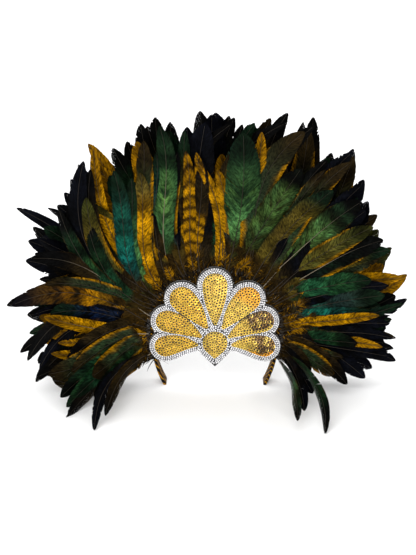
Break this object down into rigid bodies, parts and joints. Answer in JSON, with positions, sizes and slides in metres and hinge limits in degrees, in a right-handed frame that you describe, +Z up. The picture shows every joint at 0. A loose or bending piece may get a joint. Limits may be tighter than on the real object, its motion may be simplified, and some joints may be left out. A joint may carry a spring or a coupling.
{
  "type": "feather headdress",
  "caption": "Carnival headdress: a ribbon-wrapped headband with a tall fan of dyed cock feathers and a gold sequin palmette with a silver beaded border.",
  "frame": {"origin": "centre of the footprint box on the surface that the headband ends stand on", "axes": "+Z up; -Y towards the viewer, the side of the sequined plate; +X to the viewer's right"},
  "size_m": [0.432, 0.17, 0.312],
  "materials": {
    "black_ribbon": "black satin ribbon with amber streaks",
    "black_felt": "matt black felt",
    "silver_beads": "metallised silver seed beads",
    "gold_sequins": "metallised gold cup sequins",
    "back_feather": "black cock feather with a blue sheen",
    "middle_feather": "amber-dyed cock feather",
    "front_feather": "iridescent green cock feather"
  },
  "bodies": {
    "root": {"headband": "black_ribbon", "back_feathers_left_low": "back_feather", "back_feathers_left": "back_feather", "back_feathers_top": "back_feather", "back_feathers_right": "back_feather", "back_feathers_right_low": "back_feather", "middle_feathers_left_low": "middle_feather", "middle_feathers_left": "middle_feather", "middle_feathers_top": "middle_feather", "middle_feathers_right": "middle_feather", "middle_feathers_right_low": "middle_feather", "front_feathers_left_low": "front_feather", "front_feathers_left": "front_feather", "front_feathers_top": "front_feather", "front_feathers_right": "front_feather", "front_feathers_right_low": "front_feather", "felt_backing": "black_felt", "bead_border": "silver_beads", "sequin_petal_1": "gold_sequins", "sequin_petal_2": "gold_sequins", "sequin_petal_3": "gold_sequins", "sequin_petal_4": "gold_sequins", "sequin_petal_5": "gold_sequins", "sequin_petal_6": "gold_sequins", "sequin_petal_7": "gold_sequins", "sequin_centre": "gold_sequins"}
  },
  "joints": []
}
